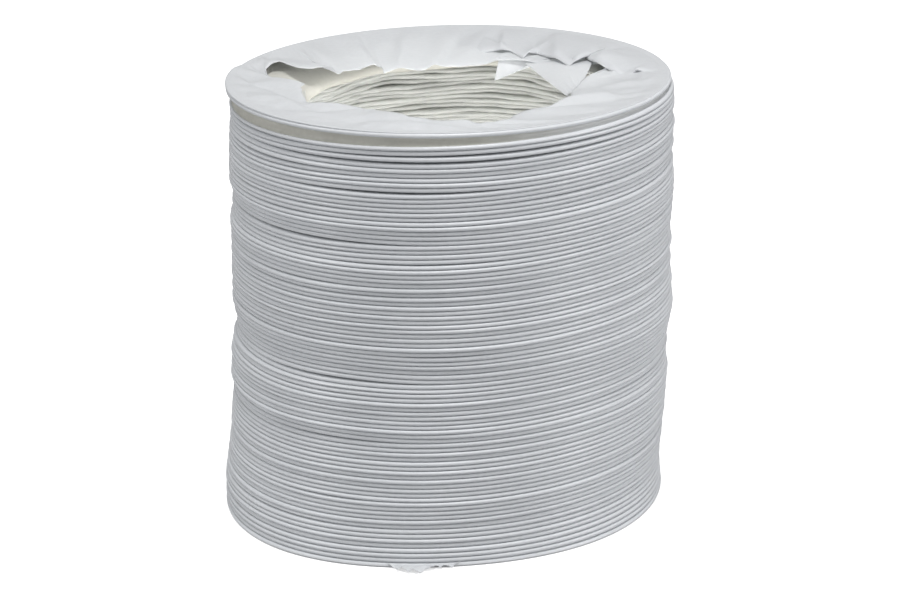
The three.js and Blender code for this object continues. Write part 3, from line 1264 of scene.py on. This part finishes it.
@dataclass
class Collar:
    """The loose cut end of the film, folded in over the mouth, with soft folds and a torn edge."""

    top: TopEnd
    columns: int = 288
    rows: int = 18
    even_over: int = 21  # columns over which the columns' directions are evened out
    opening_middle: tuple[float, float] = (-4 * MM, -14 * MM)
    frames: int = 14  # how long the film buckles
    swell: float = 0.012  # how much the film's area grows while it buckles
    most_move: float = 0.5 * MM
    hem: tuple[float, float] = (0.05 * MM, 0.40 * MM)  # how far the torn edge's last two rows turn down
    fold_columns: int = 150
    fold_rows: int = 14
    fold_from: float = math.radians(84)  # the fold runs round the rim from here, near the back
    fold_to: float = math.radians(-5)
    left_puff: float = 0.6 * MM  # how far the film stands out over the rim on the left
    point_turn: float = 0.212  # where its pointed fold is, in turns from the back
    jag: Ripple = Ripple(seed=61, size=0.22 * MM, around=70, drift=0.0, parts=50)
    curl: Ripple = Ripple(seed=62, size=0.30 * MM, around=12, drift=0.0, parts=24)

    def torn_edge(self) -> tuple[np.ndarray, np.ndarray]:
        """Return the places round the rim of the collar's columns, and the points of the torn edge they run to.

        Returns:
            Places in turns from the back, and points in plan.
        """
        corners = np.array((*TORN_EDGE, TORN_EDGE[0])) * MM
        marks = np.concatenate([[0], np.cumsum(np.hypot(*np.diff(corners, axis=0).T))])
        walk = np.arange(self.columns) / self.columns * marks[-1]
        x, y = np.interp(walk, marks, corners[:, 0]), np.interp(walk, marks, corners[:, 1])
        angle = np.unwrap(np.arctan2(y - self.opening_middle[1], x - self.opening_middle[0]))
        half = self.even_over // 2
        ring = np.concatenate([angle[-half:] - 2 * math.pi, angle, angle[:half] + 2 * math.pi])
        even = np.sort(np.convolve(ring, np.ones(self.even_over) / self.even_over, "valid")[: self.columns])
        turns = (even - BACK_ANGLE) / (2 * math.pi)
        jag = self.jag.at(turns)
        return turns, np.stack([x + jag * np.cos(angle), y + jag * np.sin(angle)], axis=-1)

    def puff(self, turns: np.ndarray) -> np.ndarray:
        """Return how far the film stands up and out over the rim: most beside the pointed fold on the left.

        Args:
            turns: places round the rim, in turns from the back.

        Returns:
            The distance at each place.
        """
        past = (turns - self.point_turn + 0.5) % 1 - 0.5
        onset = np.clip((past + 0.012) / 0.016, 0, 1)
        return self.left_puff * onset * np.clip(1 - past / 0.26, 0, 1) ** 0.8

    def rim_rows(self, turns: np.ndarray) -> list[np.ndarray]:
        """Return the rows of film that lie on the rim's bead.

        Args:
            turns: places round the rim, in turns from the back.

        Returns:
            One array of points for each row, from outside to inside.
        """
        bead, puff = self.top.stack.bead_radius * 1.03, self.puff(turns)
        roll = 0.09 * MM + 0.55 * puff
        rows = []
        for degrees in (-75, -30, 15, 55, 90):
            angle = math.radians(degrees)
            out = (roll + 0.55 * puff) * math.cos(angle) - 0.02 * MM
            rows.append(self.top.rim(turns, out, 0.97 * bead + roll * (0.9 + math.sin(angle))))
        return rows

    def surface(self, x: np.ndarray, y: np.ndarray, share: float | np.ndarray, turns: np.ndarray) -> np.ndarray:
        """Return the collar's height over the rim wire's centre.

        Args:
            x: places to the right of the rim's middle.
            y: places to the back of it.
            share: how far in from the rim (0) to the torn edge (1) the places are.
            turns: places round the rim.

        Returns:
            The height at each place.
        """
        low = np.clip(self.puff(turns) / self.left_puff, 0, 1)
        start = self.top.stack.bead_radius + 0.16 * MM + 1.05 * self.left_puff * low * np.exp(-share * 4)
        near = -np.sin(BACK_ANGLE + turns * 2 * math.pi)
        sag = -0.40 * MM * np.sin(math.pi * share) + (0.50 * near + 0.50) * MM * share
        height = start + sag + self.curl.at(turns) * share**2
        free = np.minimum(1.0, share * 4)
        for crease in CREASES:
            height = height + free * crease.lift(x, y)
        return height

    def sheet(self) -> np.ndarray:
        """Lay the folded-in film over the mouth, before it buckles.

        Returns:
            Its points, column by column, each from the rim to the torn edge.
        """
        turns, edge = self.torn_edge()
        rows = self.rim_rows(turns)
        start = self.top.rim(turns, -0.5 * MM, 0.0)
        side, back = self.top.stack.middle(np.array([self.top.rim_height]))
        edge = edge + np.array([side[0], back[0]])
        inner = self.rows - len(rows)
        for row in range(inner):
            share = row / (inner - 1)
            x = start[:, 0] * (1 - share) + edge[:, 0] * share
            y = start[:, 1] * (1 - share) + edge[:, 1] * share
            height = start[:, 2] + self.surface(x - side[0], y - back[0], share, turns)
            if row >= inner - 2:
                height = height - self.hem[row - inner + 2]
            rows.append(np.stack([x, y, height], axis=-1))
        return np.stack(rows, axis=1)

    def buckle(self, piece: bpy.types.Object, fixed_rows: int) -> None:
        """Let the film swell a little and buckle as cloth, held at the rim.

        Args:
            piece: the sheet.
            fixed_rows: how many rows of each column stay where they are.
        """
        rest = np.array([v.co for v in piece.data.vertices])
        holder = piece.vertex_groups.new(name="held")
        held = [index for index in range(len(rest)) if index % self.rows < fixed_rows]
        holder.add(held, 1.0, "REPLACE")
        cloth = piece.modifiers.new("buckle", "CLOTH")
        settings = cloth.settings
        settings.quality = 5
        settings.mass = 0.12
        settings.vertex_group_mass = "held"
        settings.tension_stiffness = 30
        settings.compression_stiffness = 30
        settings.shear_stiffness = 15
        settings.bending_stiffness = 4.0
        settings.air_damping = 6
        settings.shrink_min = -self.swell
        settings.effector_weights.gravity = 0.002
        scene = bpy.context.scene
        for step in range(1, self.frames + 1):
            scene.frame_set(step)
        apply_modifiers(piece)
        scene.frame_set(1)
        moved = np.array([v.co for v in piece.data.vertices])
        shift = moved - rest
        length = np.linalg.norm(shift, axis=1, keepdims=True)
        shift *= np.minimum(1, self.most_move / np.maximum(length, 1e-9))
        piece.data.vertices.foreach_set("co", (rest + shift).ravel())
        piece.data.update()

    def build(self) -> bpy.types.Object:
        """Make the collar.

        Returns:
            The piece.
        """
        points = self.sheet()
        piece = make_piece("top_collar", points, grid_faces(self.columns, self.rows, Facing.ROUND))
        self.buckle(piece, fixed_rows=7)
        soften(piece, LOOSE_FILM)
        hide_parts("top_film_collar")
        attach(piece, "band_19")
        return piece

    def build_fold(self) -> bpy.types.Object:
        """Make the fold of film that lies on top of the collar at the back right.

        Returns:
            The piece.
        """
        count, rows = self.fold_columns, self.fold_rows
        marks = np.linspace(0, len(FOLD_EDGE) - 1, count)
        table = np.array(FOLD_EDGE)
        edge_x, edge_y, stand = (np.interp(marks, np.arange(len(table)), table[:, i]) * MM for i in range(3))
        side, back = self.top.stack.middle(np.array([self.top.rim_height]))
        angle = np.linspace(self.fold_from, self.fold_to, count)
        turns = (angle - BACK_ANGLE) / (2 * math.pi)
        start = self.top.rim(turns, -1.0 * MM, 0.0)
        start_x, start_y = start[:, 0] - side[0], start[:, 1] - back[0]
        places, torn = self.torn_edge()
        edge = np.stack([np.interp(turns % 1, places % 1, torn[:, i], period=1) for i in range(2)], axis=-1)
        points = []
        for row in range(rows):
            share = row / (rows - 1)
            x = start_x * (1 - share) + edge_x * share
            y = start_y * (1 - share) + edge_y * share
            reach = np.hypot(start_x - edge[:, 0], start_y - edge[:, 1])
            inward = np.clip(np.hypot(start_x - x, start_y - y) / reach, 0, 1)
            height = start[:, 2] + self.surface(x, y, inward, turns) + (0.12 - 0.30 * (1 - share) ** 2) * MM
            height = height + stand * math.sin(share * math.pi * 0.62) / math.sin(math.pi * 0.62)
            for crease in FOLD_CREASES:
                height = height + math.sin(share * math.pi / 2) * crease.lift(x, y)
            if row == rows - 1:
                height = height - 0.75 * MM
            points.append(np.stack([x + side[0], y + back[0], height], axis=-1))
        piece = make_piece("collar_fold", np.stack(points, axis=1), grid_faces(count, rows, Facing.OPEN))
        soften(piece, LOOSE_FILM)
        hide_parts("top_film_collar")
        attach(piece, "band_19")
        return piece


@dataclass(frozen=True)
class TornFlap:
    """A flap torn from the collar's edge.

    corners are four points in millimetres from the rim's middle and the floor: two where it hangs, and the two
    below them. bulge is how far its middle stands out, and flat its size when laid flat, in metres.
    """

    name: str
    corners: tuple[tuple[float, float, float], ...]
    bulge: tuple[float, float, float]
    flat: tuple[float, float]
    area: float
    seed: int

    def build(self, collar: Collar) -> bpy.types.Object:
        """Make the flap, hanging from the collar.

        Args:
            collar: the collar that it is torn from.

        Returns:
            The piece.
        """
        count = 26
        corners = np.array(self.corners)
        across, down = np.meshgrid(np.linspace(0, 1, count), np.linspace(0, 1, count), indexing="ij")
        weights = ((1 - across) * (1 - down), across * (1 - down), (1 - across) * down, across * down)
        points = sum(weight[..., None] * corner for weight, corner in zip(weights, corners))
        swell = np.sin(math.pi * across) * np.sin(math.pi * (0.15 + 0.75 * down))
        points = points + swell[..., None] * np.array(self.bulge)
        ruffle = Ripple(seed=self.seed, size=0.09, around=2, drift=0.5, parts=10).at(across * 0.7 + 0.13 * down)
        points[..., 2] += ruffle * down * 0.8
        points[..., 1] += ruffle * down * 0.5
        edge = Ripple(seed=self.seed + 1, size=0.14, around=9, drift=0.5, parts=16).at(across)
        points[..., 2] += edge * down**4
        side, back = collar.top.stack.middle(np.array([collar.top.rim_height]))
        points = points * MM + np.array([side[0], back[0], 0])
        piece = make_piece(self.name, points, grid_faces(count, count, Facing.OPEN))
        soften(piece, LOOSE_FILM)
        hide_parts("top_film_collar")
        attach(piece, "band_19")
        return piece


TORN_FLAPS = (
    TornFlap(
        "torn_flap_left",
        ((12.5, 19.5, 101.2), (27.0, 16.5, 101.5), (11.0, 15.5, 96.4), (20.5, 14.0, 100.9)),
        (0.4, -1.0, -0.9),
        flat=(0.0160, 0.0100),
        area=0.00006,
        seed=91,
    ),
    TornFlap(
        "torn_flap_right",
        ((18.5, 14.5, 100.4), (34.5, 12.0, 101.0), (27.0, -18.5, 100.2), (31.0, -6.0, 100.4)),
        (-0.4, -0.6, 0.8),
        flat=(0.0150, 0.0320),
        area=0.00027,
        seed=95,
    ),
)


@dataclass
class BottomEnd:
    """The cut film end tucked under the lowest turn, with the crumpled tongue that shows in front."""

    stack: Stack
    columns: int = 288
    tuck_width: float = 12 * MM
    tongue_columns: int = 90
    tongue_rows: int = 16
    tongue_reach: float = 4.2 * MM
    tongue_facing: float = -96.0  # degrees, where -90 is the front
    tongue_spread: float = 9.5  # degrees to each side

    def build_tuck(self) -> bpy.types.Object:
        """Make the film that runs round the lowest bead and lies under the stack.

        Returns:
            The piece.
        """
        turns = np.arange(self.columns) / self.columns
        stack, bead = self.stack, self.stack.bead_radius
        radius, height = stack.radius(turns), stack.height(turns)
        height = np.where(turns > 0.66, stack.floor_wire, height)
        ragged = Ripple(seed=71, size=1.6 * MM, around=24, drift=0.0, parts=30).at(turns)
        lift = Ripple(seed=72, size=0.06 * MM, around=30, drift=0.0, parts=30).at(turns)
        rows = []
        for degrees in (0, -35, -65, -90):
            angle = math.radians(degrees)
            rows.append(stack.place(turns, radius + bead * math.cos(angle), height + bead * math.sin(angle)))
        for share in (0.1, 0.3, 0.55, 0.8, 1.0):
            inward = radius - share * (self.tuck_width + ragged)
            up = 0.1 * MM + np.abs(lift) * math.sin(math.pi * share) + 0.12 * MM * share
            rows.append(stack.place(turns, inward, up))
        points = np.stack(rows, axis=1)
        piece = make_piece("bottom_tuck", points, grid_faces(self.columns, len(rows), Facing.ROUND))
        thicken(piece, LOOSE_FILM)
        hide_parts("bottom_film_end")
        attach(piece, "band_01")
        return piece

    def build_tongue(self) -> bpy.types.Object:
        """Make the crumpled tongue of film that sticks out under the front.

        Returns:
            The piece.
        """
        columns, rows = self.tongue_columns, self.tongue_rows
        across = np.linspace(-1, 1, columns)
        rng = np.random.default_rng(73)
        phases = rng.uniform(0, 2 * math.pi, 6)
        lobes = 0.55 + 0.45 * np.cos(across * 3.1 + 0.9) * np.cos(across * 1.3)
        lobes += 0.12 * np.sin(across * 23 + phases[0]) + 0.08 * np.sin(across * 41 + phases[1])
        reach = self.tongue_reach * np.clip(1 - across**4, 0, 1) * np.clip(lobes, 0.25, 1.2)
        points = []
        for index, place in enumerate(across):
            angle = math.radians(self.tongue_facing + self.tongue_spread * place)
            column = []
            for row in range(rows):
                share = row / (rows - 1)
                radius = 49.8 * MM + share * (2.2 * MM + reach[index])
                curl = math.sin(share * 2.6 + phases[2]) * math.sin(place * 9 + phases[3] + share * 2)
                fold = math.sin(place * 17 + phases[4] + share * 3.0)
                up = 0.34 * MM + share * 0.55 * MM * (0.5 + 0.5 * curl) + 0.22 * MM * share * (1 + fold)
                side = self.stack.middle(np.array([0.0]))[0][0]
                column.append((radius * math.cos(angle) + side, radius * math.sin(angle), up))
            points.append(column)
        piece = make_piece("bottom_tongue", np.array(points), grid_faces(columns, rows, Facing.OPEN))
        thicken(piece, LOOSE_FILM)
        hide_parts("bottom_film_end")
        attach(piece, "band_01")
        return piece


# ---------------------------------------------------------------------------------------------------------
# Studio
# ---------------------------------------------------------------------------------------------------------


@dataclass
class Studio:
    """The camera, a plain pale floor and soft light."""

    eye: tuple[float, float, float] = (-0.0008, -0.740, 0.2873)
    look_down: float = 18.0  # degrees
    look_right: float = 0.14
    roll: float = -2.41
    lens: float = 130.65
    floor_tone: tuple[float, float, float] = (0.97, 0.97, 0.97)
    floor_lift: float = 0.45  # keeps the floor pale in the soft shadow
    bore_watts: float = 0.034
    fill_watts: float = 0.024
    bore_tint: tuple[float, float, float] = (1.0, 0.99, 0.97)
    surround: float = 0.36
    floor_bounce: tuple[float, float, float] = (0.45, 0.45, 0.46)  # kept low, for the shade under the beads

    def build_camera(self) -> None:
        """Set the camera at its viewing angle."""
        data = bpy.data.cameras.new("camera")
        data.lens = self.lens
        data.sensor_width = 36
        data.clip_end = 20
        camera = bpy.data.objects.new("camera", data)
        down, turn, roll = (math.radians(v) for v in (self.look_down, self.look_right, self.roll))
        right = Vector((math.cos(turn), -math.sin(turn), 0))
        ahead = Vector((math.sin(turn) * math.cos(down), math.cos(turn) * math.cos(down), -math.sin(down)))
        up = right.cross(ahead)
        side = math.cos(roll) * right + math.sin(roll) * up
        top = -math.sin(roll) * right + math.cos(roll) * up
        axes = Matrix((side, top, -ahead)).transposed()
        camera.matrix_world = Matrix.Translation(self.eye) @ axes.to_4x4()
        bpy.context.scene.collection.objects.link(camera)
        bpy.context.scene.camera = camera

    def build_floor(self) -> None:
        """Lay a plain pale floor that fills the view."""
        size = 6.0
        corners = size * np.array([(-1, -1, 0), (1, -1, 0), (1, 1, 0), (-1, 1, 0)], dtype=float)
        floor = make_piece("floor", corners, [(0, 1, 2, 3)], smooth=False)
        material = bpy.data.materials.new("pale_floor")
        material.use_nodes = True
        shader = material.node_tree.nodes["Principled BSDF"]
        shader.inputs["Roughness"].default_value = 0.9
        nodes, links = material.node_tree.nodes, material.node_tree.links
        path = nodes.new("ShaderNodeLightPath")
        tone = nodes.new("ShaderNodeMix")
        tone.data_type = "RGBA"
        tone.inputs["A"].default_value = (*self.floor_bounce, 1)
        tone.inputs["B"].default_value = (*self.floor_tone, 1)
        links.new(path.outputs["Is Camera Ray"], tone.inputs["Factor"])
        links.new(tone.outputs["Result"], shader.inputs["Base Color"])
        shader.inputs["Emission Color"].default_value = (1, 1, 1, 1)
        lift = nodes.new("ShaderNodeMath")
        lift.operation = "MULTIPLY"
        lift.inputs[1].default_value = self.floor_lift
        links.new(path.outputs["Is Camera Ray"], lift.inputs[0])
        links.new(lift.outputs[0], shader.inputs["Emission Strength"])
        floor.data.materials.append(material)

    def build_lamp(self, name: str, place: tuple[float, float, float], size: float, watts: float) -> None:
        """Hang a soft square lamp that points at the hose's middle.

        Args:
            name: the lamp's name.
            place: where it hangs.
            size: the length of its side.
            watts: its power.
        """
        data = bpy.data.lights.new(name, "AREA")
        data.shape = "SQUARE"
        data.size = size
        data.energy = watts
        aim = Vector((0, 0, 0.05)) - Vector(place)
        self.hang(data, place, tuple(aim.to_track_quat("-Z", "Y").to_euler()))

    def hang(
        self, data: bpy.types.Light, place: tuple[float, ...], turn: tuple[float, ...] = (0, 0, 0)
    ) -> None:
        """Put a lamp into the scene, out of the camera's sight.

        Args:
            data: the lamp.
            place: where it hangs.
            turn: how it is turned, in radians.
        """
        lamp = bpy.data.objects.new(data.name, data)
        lamp.location = place
        lamp.rotation_euler = turn
        lamp.visible_camera = False
        bpy.context.scene.collection.objects.link(lamp)

    def build_bore_light(self) -> None:
        """Set two small soft lamps in the bore, for the light that the thin wall lets in all round."""
        low = bpy.data.lights.new("bore", "POINT")
        low.shadow_soft_size = 0.024
        low.energy = self.bore_watts
        low.color = self.bore_tint
        self.hang(low, (0, -0.004, 0.052))
        fill = bpy.data.lights.new("bore_fill", "AREA")
        fill.shape = "DISK"
        fill.size = 0.034
        fill.energy = self.fill_watts
        fill.color = self.bore_tint
        self.hang(fill, (0, -0.016, 0.080), (math.radians(88), 0, 0))

    def build_light(self) -> None:
        """Set a broad lamp overhead, soft lamps on both sides, and an even pale surround."""
        self.build_lamp("overhead", (0.05, -0.30, 1.40), 0.5, 12.5)
        self.build_lamp("right", (1.25, -0.50, 0.60), 0.7, 9.0)
        self.build_lamp("left", (-1.20, -0.35, 0.75), 0.5, 5.6)
        self.build_bore_light()
        world = bpy.data.worlds.new("surround")
        world.use_nodes = True
        backdrop = world.node_tree.nodes["Background"]
        backdrop.inputs["Color"].default_value = (1.0, 1.0, 1.0, 1)
        backdrop.inputs["Strength"].default_value = self.surround
        bpy.context.scene.world = world
        bpy.context.scene.view_settings.view_transform = "Standard"

    def build(self) -> None:
        """Set up the whole studio."""
        self.build_camera()
        self.build_floor()
        self.build_light()


def main() -> None:
    """Build the hose and its studio, piece by piece."""
    logging.basicConfig(level=logging.INFO, format="%(name)s: %(message)s")
    Studio().build()
    finishes = Finishes.make()
    stack = Stack()
    wall, wire = FilmWall(stack), WireHelix(stack)
    for reach in wall_reaches(stack):
        film = wall.build(reach)
        dress(film, finishes.wall)
        bend_over_joint(film, stack, reach)
        steel = wire.build(reach)
        dress(steel, finishes.wire)
        bend_over_joint(steel, stack, reach)
        log.info("%s and %s span turns %.1f to %.1f", film.name, steel.name, reach.first, reach.last)
    top = TopEnd(stack)
    collar, bottom = Collar(top), BottomEnd(stack)
    for piece, material, slot in (
        (top.build_rim_wire(), finishes.wire, Slot.WIRE),
        *((bead, finishes.wall, Slot.WALL) for bead in top.build_beads()),
        (top.build_neck(), finishes.neck, Slot.NECK),
        (InnerSkirt(top).build(), finishes.liner, Slot.NECK),
        (collar.build(), finishes.loose, Slot.LOOSE),
        (collar.build_fold(), finishes.loose, Slot.LOOSE),
        *((flap.build(collar), finishes.loose, Slot.LOOSE) for flap in TORN_FLAPS),
        (bottom.build_tuck(), finishes.loose, Slot.LOOSE),
        (bottom.build_tongue(), finishes.loose, Slot.LOOSE),
    ):
        dress(piece, material)
        log.info("%s has %d faces", piece.name, len(piece.data.polygons))


if __name__ == "__main__":
    main()
